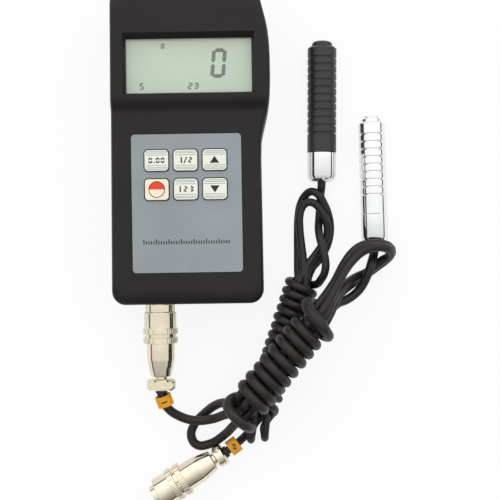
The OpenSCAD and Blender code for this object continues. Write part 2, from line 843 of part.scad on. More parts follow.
module tail_piece(r, from, to, cord_d) {
  difference() {
    union() {
      rotate_extrude()
        polygon([[0, from], [r - 0.25, from], [r, from + 0.3], [r, to - 2.4], [r - 0.4, to - 1.1],
          [r - 1.3, to - 0.3], [r - 2.2, to], [0, to]]);
      translate([0, 0, tip_out + guide_len + spring_room])
        cylinder(r = tip_r, h = from - tip_out - guide_len - spring_room + 1);
    }
    translate([0, 0, to - 1.4])
      cylinder(r = cord_d / 2 + 0.4, h = 5);
  }
}
module bright_grip() { color("#d7d5d2") at_bright() grip_piece(bright_r, tip_out, bright_joint, 7.9, 9); }
module bright_tip() { color("#d7d5d2") at_bright() tip_piece(0.9); }
module bright_pole() { color("#8f8c86") at_bright() pole_piece(); }
module bright_spring() { color("#b9bbbd") at_bright() probe_spring_piece(); }
module bright_tail() {
  color("#dedcd8") at_bright() tail_piece(bright_r + 0.08, bright_joint, bright_len, bright_cord_d);
}
module black_grip() { color("#3f3b3c") at_black() grip_piece(black_r, tip_out, black_joint, 7.4, 11); }
module black_tip() { color("#3f3b3c") at_black() tip_piece(0.5); }
module black_pole() { color("#8f8c86") at_black() pole_piece(); }
module black_spring() { color("#b9bbbd") at_black() probe_spring_piece(); }
module black_tail() {
  color("#dedcd8") at_black() tail_piece(black_r - 0.08, black_joint, black_len, black_cord_d);
}

// cord of the bright probe: lead from the plug, hank on top, loops at both ends, end at the probe
hank_low = [21, -106, 23.1];
hank_high = [53, -68.1, 23.1];
hank_dir = unit(hank_high - hank_low);
// point on the end face of a hank, a to the right of its axis and b above it
function on_face(end, dir, a, b) = end + a * [dir[1], -dir[0], 0] + [0, 0, b];
function at_low(a, b) = on_face(hank_low, hank_dir, a, b);
function at_high(a, b) = on_face(hank_high, hank_dir, a, b);
lead = [[socket_x, -hy - collar_len - 0.1 - plug_end, socket_z], [-10.4, -105.5, 11.8], [-5.6, -109.9, 9.4],
  [0.6, -112, 8.6], [7.6, -111.4, 10.4], [13.6, -108.8, 15.4], at_low(-0.6, -0.8)];
low_loop = [at_low(3.2, -1.4), [18.5, -112.1, 15.5], [12.4, -119, 6.6], [6.3, -123.1, 2.4],
  [1.4, -123.4, 2], [-1, -119.8, 2], [0.2, -115, 2.8], [4.4, -110.1, 5], [11.2, -104.7, 12],
  at_low(-4.9, -3.1)];
top_loop = [at_high(-3.2, 0.2), [63.1, -48.3, 16], [67.2, -43.2, 13.8], [74.3, -40.1, 13.4],
  [80, -40.4, 11.8], [83.9, -43.2, 6], [82, -46.8, 2.4], [74.7, -52.1, 2.2], [68, -56, 6.6],
  [60.4, -61.2, 17.4], at_high(3.2, -0.6)];
inner_loop = [at_high(-0.8, 3.2), [60, -55.6, 23], [66.9, -46.2, 17.2], [74.3, -41.7, 16.9], [80.7, -42, 15],
  [82.6, -43.5, 12], [79.8, -47, 7], [73.1, -52.1, 6], [69.2, -53.7, 7.2], [64.5, -56.1, 12.8],
  at_high(1.6, 2.8)];
bright_dir = [sin(bright_lean), cos(bright_lean), 0];
bright_end_at = [bright_tip_at[0], bright_tip_at[1], bright_r + bright_lift] - bright_len * bright_dir;
end_line = [at_high(2.6, -5), [59, -66, 14], [64.8, -63, 9.6], [69.6, -59.6, 9.4], [72.7, -53.9, 10.4],
  [74.6, -48.8, 10.8], [75.9, -45.2, 8.8], [76.9, -41.2, 5.9], bright_end_at + entry * bright_dir];

// round solid that the wound turns of a hank fill
module hank_solid(p0, p1, r) {
  d = p1 - p0;
  translate(p0)
    rotate([0, 90, atan2(d[1], d[0])])
      rotate_extrude()
        polygon([[0, 0], [r - 0.8, 0], [r, 0.8], [r, norm(d) - 0.8], [r - 0.8, norm(d)], [0, norm(d)]]);
}
module bright_cord_lead() {
  color("#3a3535") tube(lead, bright_cord_d / 2, 8, [0, 0, 1], [0, -1, 0], hank_dir);
}
module bright_cord_hank() {
  color("#3a3535") hank_solid(hank_low, hank_high, hank_r);
}
module bright_cord_loops() {
  color("#3a3535") {
    tube(low_loop, bright_cord_d / 2, 8, [0, 0, 1], -hank_dir, hank_dir);
    tube(top_loop, bright_cord_d / 2, 8, [0, 0, 1], hank_dir, -hank_dir);
    tube(inner_loop, bright_cord_d / 2, 8, [0, 0, 1], hank_dir, -hank_dir);
  }
}
module bright_cord_end() {
  color("#3a3535") tube(end_line, bright_cord_d / 2, 8, [0, 0, 1], hank_dir, bright_dir);
}

// cord of the black probe: lead from the loose plug, hank on the table, loops and end at the probe
under_low = [29, -106.3, 7.3];
under_high = [46.3, -56.3, 7.3];
under_dir = unit(under_high - under_low);
function at_under_low(a, b) = on_face(under_low, under_dir, a, b);
function at_under_high(a, b) = on_face(under_high, under_dir, a, b);
loose_dir = [cos(loose_turn) * cos(loose_dip), sin(loose_turn) * cos(loose_dip), -sin(loose_dip)];
under_lead = [[loose_x, loose_y, loose_z] + plug_end * loose_dir, [18.6, -122.1, 5.4], [23.4, -118, 2],
  [28.8, -110.8, 1.8], at_under_low(1.2, -1.75)];
under_loop_a = [at_under_low(-1.75, 1.75), [25, -112, 12], [24, -118.4, 11.2], [24, -120.2, 8.4],
  [24.6, -118, 5.5], [25.7, -112, 5.5], at_under_low(-2.4, -1.75)];
under_loop_b = [at_under_low(1.75, 1.75), [30.4, -112, 11], [29.8, -117.6, 10], [29.8, -119.4, 6.6],
  [30.1, -117.4, 3.2], [31.8, -112.6, 3.2], at_under_low(4.8, -2.4)];
under_top = [at_under_high(-1.75, -1.75), [45, -42.1, 2], [45.4, -28.6, 1.8], [48.3, -19.5, 3],
  [53.4, -18.9, 6.4], [57.8, -27.2, 4.6], [58.8, -32.7, 1.9], [53.6, -46.7, 3], at_under_high(1.75, -2.1)];
under_inner = [at_under_high(-1.75, 1.75), [45.8, -33.4, 5.1], [48.6, -22.6, 5.7], [54.9, -26.2, 6],
  [56.8, -29.8, 5.6], [57.4, -35, 4.6], [54.3, -41.4, 5], at_under_high(1.5, 1.9)];
black_dir = [sin(black_lean), cos(black_lean), 0];
black_end_at = [black_tip_at[0], black_tip_at[1], black_r] - black_len * black_dir;
under_end = [at_under_high(4.9, 1.4), [56.1, -48.5, 10.6], [53.9, -36.8, 8], [53.6, -33, 5],
  [54.2, -29.4, 2.4], [54.8, -21, 1.8], [55.1, -16, 5.6], black_end_at + entry * black_dir];

module black_cord_lead() {
  color("#3a3535") tube(under_lead, black_cord_d / 2, 8, [0, 0, 1], loose_dir, under_dir);
}
module black_cord_hank() {
  color("#3a3535") hank_solid(under_low, under_high, under_r);
}
module black_cord_loops() {
  color("#3a3535") {
    tube(under_loop_a, black_cord_d / 2, 8, [1, 0, 0], -under_dir, under_dir);
    tube(under_loop_b, black_cord_d / 2, 8, [1, 0, 0], -under_dir, under_dir);
    tube(under_top, black_cord_d / 2, 8, [0, 0, 1], under_dir, -under_dir);
    tube(under_inner, black_cord_d / 2, 8, [0, 0, 1], under_dir, -under_dir);
  }
}
module black_cord_end() {
  color("#3a3535") tube(under_end, black_cord_d / 2, 8, [0, 0, 1], under_dir, black_dir);
}

front_shell();
rear_shell();
battery_cover();
display_window();
lcd_panel();
lcd_frame();
zebra_strips();
main_board();
key_label();
key_zero();
key_mode();
key_up();
key_power();
key_select();
key_down();
key_switches();
case_screws();
board_screws();
battery_cells();
battery_contacts();
socket_shell();
socket_nut();
socket_insert();
socket_pins();
plug_shell();
plug_insert();
plug_sleeve();
plug_spring();
plug_backshell();
plug_clamp();
plug_bush();
plug_tag();
loose_shell();
loose_insert();
loose_sleeve();
loose_spring();
loose_backshell();
loose_clamp();
loose_bush();
loose_tag();
clamp_screws();
bright_grip();
bright_tip();
bright_pole();
bright_spring();
bright_tail();
black_grip();
black_tip();
black_pole();
black_spring();
black_tail();
bright_cord_lead();
bright_cord_hank();
bright_cord_loops();
bright_cord_end();
black_cord_lead();
black_cord_hank();
black_cord_loops();
black_cord_end();
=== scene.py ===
# Handheld coating thickness gauge on a white table, with two probes on hanked cords.
import math
import random

import bmesh
import bpy
from mathutils import Matrix, Vector


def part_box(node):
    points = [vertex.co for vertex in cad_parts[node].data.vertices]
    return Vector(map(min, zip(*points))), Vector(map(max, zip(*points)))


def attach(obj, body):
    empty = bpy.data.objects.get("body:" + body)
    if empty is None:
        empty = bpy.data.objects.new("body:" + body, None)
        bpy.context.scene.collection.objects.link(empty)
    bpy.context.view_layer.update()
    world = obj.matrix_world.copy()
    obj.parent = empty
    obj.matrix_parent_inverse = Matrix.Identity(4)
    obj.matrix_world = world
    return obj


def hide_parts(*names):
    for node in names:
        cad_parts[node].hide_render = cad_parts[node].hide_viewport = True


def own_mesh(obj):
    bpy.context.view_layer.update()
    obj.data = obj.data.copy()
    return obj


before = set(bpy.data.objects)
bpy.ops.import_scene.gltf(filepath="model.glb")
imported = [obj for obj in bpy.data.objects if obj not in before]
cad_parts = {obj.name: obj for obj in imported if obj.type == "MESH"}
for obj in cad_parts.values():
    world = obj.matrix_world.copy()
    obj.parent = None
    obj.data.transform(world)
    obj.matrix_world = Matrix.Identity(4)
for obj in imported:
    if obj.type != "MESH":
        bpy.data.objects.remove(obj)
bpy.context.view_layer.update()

# Camera and light. The photo looks straight down from under half a metre, turned by one degree.
# A dome stands over the table, brighter toward the gauge's head.
# Its dark band near the horizon draws the thin lines in the metal.
MM = 0.001


def linear(code):
    """Scene colour of an sRGB hex code."""
    parts = [int(code[i:i + 2], 16) / 255 for i in (1, 3, 5)]
    return [c / 12.92 if c < 0.04045 else ((c + 0.055) / 1.055) ** 2.4 for c in parts] + [1.0]


def put(owner, kind, feeds=(), stops=(), **settings):
    """Adds one shader node, with its settings, colour stops and what its sockets hold or are fed by."""
    added = owner.node_tree.nodes.new(kind)
    for setting, value in settings.items():
        setattr(added, setting, value)
    for i, (at, code) in enumerate(stops):
        stop = added.color_ramp.elements[i] if i < 2 else added.color_ramp.elements.new(at)
        stop.position = at
        stop.color = linear(code)
    for socket, value in dict(feeds).items():
        if isinstance(value, bpy.types.NodeSocket):
            owner.node_tree.links.new(value, added.inputs[socket])
        else:
            added.inputs[socket].default_value = value
    return added


scene = bpy.context.scene
scene.view_settings.view_transform = "Standard"
camera = bpy.data.objects.new("camera", bpy.data.cameras.new("camera"))
camera.location = (24.9 * MM, -41.8 * MM, 450 * MM)
camera.rotation_euler = (0, 0, math.radians(-0.9))
camera.data.lens = 76.7
camera.data.sensor_width = 36
scene.collection.objects.link(camera)
scene.camera = camera

sky = bpy.data.worlds.new("sky")
sky.use_nodes = True
scene.world = sky
ahead = put(sky, "ShaderNodeTexCoord").outputs["Generated"]
apart = put(sky, "ShaderNodeSeparateXYZ", {"Vector": ahead})
dome = put(sky, "ShaderNodeValToRGB", {"Fac": apart.outputs["Z"]},
           [(0.0, "#dcd8d3"), (0.03, "#d5d1cc"), (0.05, "#231f1c"), (0.2, "#2a2623"), (0.26, "#f4f4f4"),
            (1.0, "#ffffff")])
lean = put(sky, "ShaderNodeMapRange", {"Value": apart.outputs["Y"], "From Min": -0.8, "From Max": 0.8,
                                       "To Min": 0.36, "To Max": 1.74})
back = sky.node_tree.nodes["Background"]
sky.node_tree.links.new(dome.outputs["Color"], back.inputs["Color"])
sky.node_tree.links.new(lean.outputs[0], back.inputs["Strength"])
white = put(sky, "ShaderNodeBackground", {"Color": linear("#ffffff"), "Strength": 1.0})
straight = put(sky, "ShaderNodeLightPath").outputs["Is Camera Ray"]
around = put(sky, "ShaderNodeMixShader", {0: straight, 1: back.outputs[0], 2: white.outputs[0]})
sky.node_tree.links.new(around.outputs[0], sky.node_tree.nodes["World Output"].inputs["Surface"])

# Table. White paper under the gauge, which keeps a faint shadow.
# Seen straight, most of its white is its own glow, and in the metal nearly half of it.
table = bpy.data.objects.new("table", bpy.data.meshes.new("table"))
reach = 3
corners = [(-reach, -reach, 0), (reach, -reach, 0), (reach, reach, 0), (-reach, reach, 0)]
table.data.from_pydata(corners, [], [(0, 1, 2, 3)])
scene.collection.objects.link(table)
# white paper: flat and clean, with only a soft grey under the gauge
glow_share = 0.88
mirror_share = 0.5
paper = bpy.data.materials.new("white_paper")
paper.use_nodes = True
paper.node_tree.nodes.remove(paper.node_tree.nodes["Principled BSDF"])
sheet = put(paper, "ShaderNodeBsdfDiffuse", {"Color": linear("#ffffff")})
glow = put(paper, "ShaderNodeEmission", {"Color": linear("#ffffff"), "Strength": 1.0})
ray = put(paper, "ShaderNodeLightPath").outputs
mirrored = put(paper, "ShaderNodeMath", {0: ray["Is Glossy Ray"], 1: mirror_share}, operation="MULTIPLY")
straight = put(paper, "ShaderNodeMath", {0: ray["Is Camera Ray"], 1: ray["Is Transmission Ray"]},
               operation="ADD")
seen = put(paper, "ShaderNodeMath", {0: straight.outputs[0], 1: mirrored.outputs[0]}, operation="ADD",
           use_clamp=True)
share = put(paper, "ShaderNodeMath", {0: seen.outputs[0], 1: glow_share}, operation="MULTIPLY")
mixed = put(paper, "ShaderNodeMixShader", {0: share.outputs[0], 1: sheet.outputs[0], 2: glow.outputs[0]})
paper.node_tree.links.new(mixed.outputs[0], paper.node_tree.nodes["Material Output"].inputs["Surface"])
table.data.materials.append(paper)

# Cords. Round black vinyl, each cord wound into a hank with loops standing out at both ends.
# The routes are read from the photo, in millimetres; a hank is four strands inside a wound helix.
BRIGHT_CORD = 3.8
BLACK_CORD = 3.4


def along(low, high, places):
    """Points given as distance along a hank's axis, then right of it and above it."""
    axis = (Vector(high) - Vector(low)).normalized()
    side = Vector((axis.y, -axis.x, 0))
    return [Vector(low) + a * axis + r * side + Vector((0, 0, u)) for a, r, u in places]


def wound(turns):
    """Places along a hank from rows of angle, distance along the axis and radius, angle 0 at its right."""
    return [(a, r * math.cos(math.radians(t)), r * math.sin(math.radians(t))) for t, a, r in turns]


def helix(first, last, low, high, radius, seed):
    """Rows for a wound helix, each turn a little uneven."""
    rng = random.Random(seed)
    per_turn = 16
    step = 360 / per_turn
    most_slip = 0.22
    most_fat = 0.18
    ease = 0.25
    count = round((last - first) / step)
    rows = []
    for i in range(count + 1):
        if i % per_turn == 0:
            slip = rng.uniform(-most_slip, most_slip)
            fat = rng.uniform(-most_fat, most_fat)
        was = rows[-1][3:] if rows else (slip, fat)
        now = [old + ease * (goal - old) for old, goal in zip(was, (slip, fat))]
        rows.append((first + i * step, low + (high - low) * i / count + now[0], radius + now[1], *now))
    return [row[:3] for row in rows]


def cord_piece(name, points, thick, material):
    """One open tube through the route's points."""
    curve = bpy.data.curves.new(name, "CURVE")
    curve.dimensions = "3D"
    curve.resolution_u = 4
    curve.bevel_depth = thick / 2 * MM
    curve.bevel_resolution = 4
    curve.use_fill_caps = True
    line = curve.splines.new("BEZIER")
    line.bezier_points.add(len(points) - 1)
    for knot, point in zip(line.bezier_points, points):
        knot.co = Vector(point) * MM
        knot.handle_left_type = knot.handle_right_type = "AUTO"
    piece = bpy.data.objects.new(name, curve)
    scene.collection.objects.link(piece)
    curve.materials.append(material)
    return piece


def grained(name, dark, light, drift, grain, rough, bump, metallic=0.0, specular=0.5):
    """Material whose colour drifts between two tones over some mm and whose face has a fine grain."""
    made = bpy.data.materials.new(name)
    made.use_nodes = True
    face = made.node_tree.nodes["Principled BSDF"]
    at = put(made, "ShaderNodeTexCoord").outputs["Object"]
    cloud = put(made, "ShaderNodeTexNoise", {"Vector": at, "Scale": 1000 / drift, "Detail": 3.0})
    tone = put(made, "ShaderNodeValToRGB", {"Fac": cloud.outputs["Fac"]}, [(0.3, dark), (0.7, light)])
    specks = put(made, "ShaderNodeTexNoise", {"Vector": at, "Scale": 1000 / grain, "Detail": 2.0})
    shine = put(made, "ShaderNodeMapRange", {"Value": specks.outputs["Fac"], "From Min": 0.3,
                                             "From Max": 0.7, "To Min": rough * 0.85,
                                             "To Max": rough * 1.15})
    relief = put(made, "ShaderNodeBump", {"Height": specks.outputs["Fac"], "Strength": bump,
                                          "Distance": 0.05 * MM})
    for socket, source in (("Base Color", tone), ("Roughness", shine), ("Normal", relief)):
        made.node_tree.links.new(source.outputs[0], face.inputs[socket])
    face.inputs["Metallic"].default_value = metallic
    face.inputs["Specular IOR Level"].default_value = specular
    return made


# black vinyl: dull, nearly even, with a soft sheen along the top of each strand
vinyl = grained("black_vinyl", "#221e1d", "#2a2524",
                drift=14, grain=0.5, rough=0.4, bump=0.12, specular=0.33)

hank = ((21, -106, 23.1), (53, -68.1, 23.1))
bright_route = [
    (-12.3, -99.4, 13), (-12.1, -102.3, 12.7), (-10.2, -106, 11.7), (-5.6, -109.9, 9.4),
    (0.6, -112, 8.6), (7.6, -111.4, 10.4), (13.6, -108.8, 15.4)]
bright_route += along(*hank, [
    (0, -0.6, -0.8), (6, -1, -0.7), (18, -2, -2), (36, -2.1, -1.9), (44, -2.8, -0.8),
    (49.6, -3.2, 0.2)])
bright_route += [
    (58.7, -55.7, 19.6), (63.1, -48.3, 16), (67.2, -43.2, 13.8), (70.8, -40.8, 13.2),
    (74.3, -40.1, 13.4), (77, -40, 13.2), (80, -40.4, 11.8), (82.6, -41.4, 8.8), (83.9, -43.2, 6),
    (83.6, -45, 3.8), (82, -46.8, 2.4), (78.3, -49.5, 2), (74.7, -52.1, 2.2), (71.2, -54.3, 4),
    (68, -56, 6.6), (64, -58.2, 12), (60.4, -61.2, 17.2)]
bright_route += along(*hank, [
    (49.6, 3.2, -0.6), (44, 3.5, 0.6), (36, 2.8, 1.8), (28, 2, 2), (12, 2.2, 1.8), (6, 2.8, -0.2),
    (0, 3.2, -2.4)])
bright_route += [
    (18.5, -112.1, 15.5), (12.4, -119, 6.6), (6.3, -123.1, 2.4), (1.4, -123.4, 2), (-1, -119.8, 2),
    (0.2, -115, 2.8), (4.4, -110.1, 5), (11.2, -104.7, 12)]
bright_route += along(*hank, [
    (0, -4.9, -3.1), (8, -4.4, -0.4), (18, -2.4, 1.9), (36, -2.1, 2.1), (44, -1.8, 2.9),
    (49.6, -0.8, 3.2)])
bright_route += [
    (60, -55.6, 23), (63.1, -50.6, 19.6), (66.9, -46.2, 17.2), (70.7, -43.1, 16.6),
    (74.3, -41.7, 16.9), (77.8, -41.4, 16.6), (80.7, -42, 15), (82.6, -43.5, 12),
    (82.3, -45.4, 9.2), (79.8, -47, 7), (76.5, -49.6, 5.9), (73.1, -52.1, 6), (69.2, -53.7, 7.2),
    (64.5, -56.1, 12.8), (60.5, -59.2, 18.6), (57.6, -62.6, 23)]
bright_route += along(*hank, [
    (49.6, 1.6, 2.8), (44, 0.7, 1.8), (36, 0.5, -0.4), (28, 1.9, -2), (14, 2, -2.2),
    (8, 1.2, -3.2), (5.4, -0.6, -4.1), (2.9, -2.4, -5.2), (0.4, -3.4, -6.2), (-1.9, -2.8, -6.8),
    (-3.6, -1.1, -7.2), (-4.2, 1.2, -7.5)])
loose_turn = [
    (-62, -4.2, 8.3), (-45, -3.9, 8.5), (-28, -3.5, 8.2), (-12, -3.2, 7.4), (15, -3.3, 6.7),
    (45, -3.4, 6.6), (75, -3.4, 6.6), (105, -3.2, 6.6), (135, -2.8, 6.5), (160, -1.9, 6.5),
    (185, -0.5, 6.4), (210, 1.4, 6.4), (240, 3.2, 6.3)]
wide_turn = [
    (3195, 43.3, 6.9), (3225, 44, 7.4), (3255, 44.8, 7.8), (3285, 45.5, 7.8), (3315, 46.3, 7.7),
    (3345, 47.2, 7.5), (3375, 48.2, 7.3), (3405, 49.2, 7.1), (3435, 50, 6.9), (3465, 50.6, 6.8),
    (3495, 51.6, 6.8), (3512, 53, 7.2)]
wound_from = len(bright_route)
bright_route += along(*hank, wound(loose_turn + helix(270, 3150, 4.5, 42.2, 6.2, 3) + wide_turn))
wound_to = len(bright_route)
bright_route += [
    (58.1, -65.7, 14.6), (61, -64.1, 12), (64.8, -62.8, 10), (69.2, -59.6, 9.5),
    (71.4, -56.6, 9.9), (72.7, -53.9, 10.4), (73.8, -51.3, 10.8), (74.7, -48.6, 10.6),
    (75.7, -45.9, 9), (76.5, -43.4, 6.8), (76.9, -41.2, 5.9), (77.1, -38.3, 5.7)]
bright_cord = cord_piece("bright_cord", bright_route, BRIGHT_CORD, vinyl)
# the tightly wound turns are pressed flat, so they look wider than a single strand, the last one most
pressed = 1.15
widest = 1.4
widest_knots = 8
knots = bright_cord.data.splines[0].bezier_points
for i in range(wound_from, wound_to):
    knots[i].radius = widest if i >= wound_to - widest_knots else pressed

under = ((29, -106.3, 7.46), (46.3, -56.3, 7.46))
black_route = [
    (55.2, -13.3, 6), (55.1, -16, 5.5), (54.9, -18.7, 3.4), (54.8, -21.4, 1.9),
    (54.5, -25.5, 1.95), (54.1, -29.6, 2.6), (53.7, -33, 5), (53.9, -36.8, 8), (55, -42, 9.8),
    (56, -47, 10.6), (55.6, -51.4, 10.6)]
low_turn = [
    (-50, -9.5, 6), (-45, -6, 5.9), (-30, -3, 5.8), (0, -0.8, 5.7), (40, 0.8, 5.6),
    (80, 1.6, 5.55)]
high_turn = [(5015, 54.3, 5.8), (5035, 55.2, 6.2), (5050, 56.8, 6.8)]
windings = low_turn + helix(112.5, 4995, 2.1, 53.9, 5.55, 8) + high_turn
black_route += along(*under, wound(reversed(windings)))
black_route += [
    (29.7, -118.7, 4.1), (29.8, -119.9, 6.8), (29.8, -118.8, 9.5), (30, -116, 10.7),
    (30.4, -112, 11)]
black_route += along(*under, [(0, 1.75, 1.75), (20, 1.75, 1.75), (40, 1.7, 1.8), (52.9, 1.5, 1.9)])
black_route += [
    (48.5, -49, 7.6), (51.3, -45.3, 6.2), (54.3, -41.4, 5), (56.5, -38.1, 4.7), (57.4, -34.4, 4.9),
    (56.7, -29.8, 6), (54.9, -26.2, 6.2), (52.9, -23.5, 6.2), (50.6, -22.3, 6), (48.6, -22.6, 5.7),
    (47, -24.2, 5.4), (45.9, -27.5, 5.2), (45.8, -33.4, 5.1), (46.3, -39.2, 5.3),
    (46.9, -45.1, 6.4), (46.9, -51.3, 8.2)]
black_route += along(*under, [
    (52.9, -1.75, 1.75), (35, -1.75, 1), (18, -1.9, -1), (0, -2.4, -1.75)])
black_route += [
    (25.7, -112, 5), (24.8, -116.6, 4.8), (24.3, -119.2, 5.9), (24.1, -120.3, 8.5),
    (24, -119.2, 11.1), (24.2, -116.6, 12.2), (25, -112, 12.1)]
black_route += along(*under, [(0, -1.75, 1.75), (18, -1, 1.9), (35, 0.6, 0.8), (52.9, 1.75, -2.1)])
black_route += [
    (50.7, -49.9, 4.6), (53.6, -46.7, 3), (56.5, -42.3, 1.9), (58.2, -37.7, 1.95),
    (58.8, -32.7, 1.9), (57.8, -27.2, 4.4), (55.9, -22.7, 5.8), (53.4, -18.9, 6.4),
    (50.8, -17.8, 5), (48.3, -19.5, 3), (46.4, -23.2, 1.9), (45.4, -28.6, 1.95),
    (45.1, -34.5, 1.95), (45, -42.1, 2), (44.8, -49.6, 4)]
black_route += along(*under, [
    (52.9, -1.75, -1.75), (35, -1.4, -1.9), (18, 0.4, -1.9), (0, 1.2, -1.9)])
black_route += [
    (28.8, -110.8, 2.7), (26.2, -114.4, 2.1), (23.2, -118.2, 2.4), (18.6, -122.1, 5.2),
    (13.7, -125.6, 6.1)]
black_cord = cord_piece("black_cord", black_route, BLACK_CORD, vinyl)
for piece, start in ((bright_cord, "bright"), (black_cord, "black")):
    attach(piece, "gauge")
    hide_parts(*[f"{start}_cord_{part}" for part in ("lead", "hank", "loops", "end")])


def skin(node, material, body="gauge", soften=0.12, crease=30):
    """A CAD piece as it looks: one smooth mesh with softened edges and its material."""
    weld_reach = 0.002 * MM
    flat_within = math.radians(0.6)
    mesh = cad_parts[node].data.copy()
    mesh.name = node + "_skin"
    if "custom_normal" in mesh.attributes:
        mesh.attributes.remove(mesh.attributes["custom_normal"])
    work = bmesh.new()
    work.from_mesh(mesh)
    bmesh.ops.remove_doubles(work, verts=work.verts, dist=weld_reach)
    bmesh.ops.dissolve_limit(work, angle_limit=flat_within, verts=work.verts, edges=work.edges)
    work.to_mesh(mesh)
    work.free()
    mesh.shade_smooth()
    mesh.set_sharp_from_angle(angle=math.radians(crease))
    mesh.materials.clear()
    mesh.materials.append(material)
    piece = bpy.data.objects.new(node + "_skin", mesh)
    scene.collection.objects.link(piece)
    if soften:
        edge = piece.modifiers.new("soft_edges", "BEVEL")
        edge.width = soften * MM
        edge.segments = 2
        edge.limit_method = "ANGLE"
        edge.angle_limit = math.radians(40)
        even = piece.modifiers.new("even_faces", "WEIGHTED_NORMAL")
        even.keep_sharp = True
    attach(piece, body)
    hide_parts(node)
    return piece


# satin black plastic: dark warm grey with an even, very fine spark texture
case_plastic = grained("satin_black_plastic", "#1d1919", "#221e1e",
                       drift=40, grain=0.35, rough=0.42, bump=0.1, specular=0.26)
skin("front_shell", case_plastic, soften=0.25)
skin("rear_shell", case_plastic, soften=0.2)
skin("battery_cover", case_plastic, body="battery_cover", soften=0.15)
# zinc plated steel: dull grey, a little blotchy
screw_steel = grained("zinc_plated_steel", "#8b8e92", "#a2a4a6",
                      drift=1.5, grain=0.2, rough=0.35, bump=0.1, metallic=1.0)
skin("case_screws", screw_steel)
skin("board_screws", screw_steel)

# Display. A reflective glass cell in a black moulded frame, pressed on two rubber connector strips.
# It lies under a clear acrylic window, which is set into the opening of the head.
# moulded black plastic and grey silicone rubber: dull and even, hardly seen beside the glass
frame_plastic = grained("black_frame_plastic", "#1d1f22", "#26282c",
                        drift=10, grain=0.4, rough=0.5, bump=0.1)
strip_rubber = grained("grey_silicone_rubber", "#4c4f53", "#5b5e62",
                       drift=2, grain=0.3, rough=0.6, bump=0.2)
skin("lcd_frame", frame_plastic)
skin("zebra_strips", strip_rubber)
# display glass: pale grey green, even and satin
lcd_glass = grained("display_glass", "#cfdac7", "#d5dfcd", drift=30, grain=0.15, rough=0.3, bump=0.03)
skin("lcd_panel", lcd_glass)
# clear acrylic: seen straight through, with a faint gloss
acrylic = bpy.data.materials.new("clear_acrylic")
acrylic.use_nodes = True
pane = acrylic.node_tree.nodes["Principled BSDF"]
pane.inputs["Base Color"].default_value = linear("#f7faf8")
pane.inputs["Roughness"].default_value = 0.04
pane.inputs["IOR"].default_value = 1.49
pane.inputs["Transmission Weight"].default_value = 1.0
haze = put(acrylic, "ShaderNodeTexNoise", {"Vector": put(acrylic, "ShaderNodeTexCoord").outputs["Object"],
                                           "Scale": 400.0})
ripple = put(acrylic, "ShaderNodeBump", {"Height": haze.outputs["Fac"], "Strength": 0.02,
                                         "Distance": 0.02 * MM})
acrylic.node_tree.links.new(ripple.outputs[0], pane.inputs["Normal"])
clear = put(acrylic, "ShaderNodeBsdfTransparent", {"Color": linear("#f7faf8")})
shade = put(acrylic, "ShaderNodeLightPath").outputs["Is Shadow Ray"]
both = put(acrylic, "ShaderNodeMixShader", {0: shade, 1: pane.outputs[0], 2: clear.outputs[0]})
acrylic.node_tree.links.new(both.outputs[0], acrylic.node_tree.nodes["Material Output"].inputs["Surface"])
skin("display_window", acrylic, soften=0)


def decal(name, shapes, place, material, body):
    """Thin print: outlines in mm on a plane that place sets into the part, lying on a face."""
    work = bmesh.new()
    for shape in shapes:
        work.faces.new([work.verts.new(place @ Vector((x * MM, y * MM, 0))) for x, y in shape])
    mesh = bpy.data.meshes.new(name)
    work.to_mesh(mesh)
    work.free()
    mesh.materials.append(material)
    piece = bpy.data.objects.new(name, mesh)
    scene.collection.objects.link(piece)
    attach(piece, body)
    return piece


def digit(bars, x, y, wide, tall, thick, slant=0.0):
    """Outlines of a seven-segment figure, lower left corner at x, y; bars are letters a to g."""
    gap = 0.12 * thick
    half = thick / 2
    middle = tall / 2
    lying = {"a": tall - half, "g": middle, "d": half}
    standing = {"b": (wide - half, middle), "c": (wide - half, 0), "e": (half, 0), "f": (half, middle)}
    shapes = []
    for bar in bars:
        if bar in lying:
            level = lying[bar]
            left, right = thick + gap, wide - thick - gap
            outline = [(half + gap, level), (left, level - half), (right, level - half),
                       (wide - half - gap, level), (right, level + half), (left, level + half)]
        else:
            across, foot = standing[bar]
            low, high = foot + half + gap, foot + middle - half - gap
            bottom = foot + gap + (half if foot == 0 else 0)
            top = foot + middle - gap - (0 if foot == 0 else half)
            outline = [(across, bottom), (across + half, low), (across + half, high), (across, top),
                       (across - half, high), (across - half, low)]
        shapes.append([(x + u + slant * v, y + v) for u, v in outline])
    return shapes


# segments of the display: soft grey for the large figure, darker for the small ones
segment_ink = grained("display_segments", "#666b66", "#6d726d", drift=5, grain=0.2, rough=0.4, bump=0.02)
small_ink = grained("small_display_segments", "#343834", "#3c403b",
                    drift=5, grain=0.2, rough=0.4, bump=0.02)
segment_lift = 0.03 * MM
on_glass = Matrix.Translation((0, 0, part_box("lcd_panel")[1].z + segment_lift))
lean_over = 0.09
figure = digit("abcdef", 10, 27.3, 5.9, 11.8, 1.5, lean_over)
decal("display_figure", figure, on_glass, segment_ink, "gauge")
marks = digit("abcdefg", -9.6, 39.3, 1.4, 2.1, 0.4, lean_over)
marks += digit("acdfg", -18.4, 23, 1.7, 2.7, 0.5, lean_over)
marks += digit("abdeg", 0.9, 23, 1.9, 2.5, 0.5, lean_over)
marks += digit("abcdg", 3.4, 23, 1.9, 2.5, 0.5, lean_over)
decal("display_marks", marks, on_glass, small_ink, "gauge")

# Board and cells. Green laminate with six switches, screwed to posts in the front shell.
# Four cells lie in the rear bay between sprung contact plates. None of it shows while the case is closed.
# glass fibre laminate under solder mask: deep green, slightly cloudy
laminate = grained("green_board_laminate", "#1a5030", "#236a3f", drift=6, grain=0.3, rough=0.45, bump=0.1)
skin("main_board", laminate)
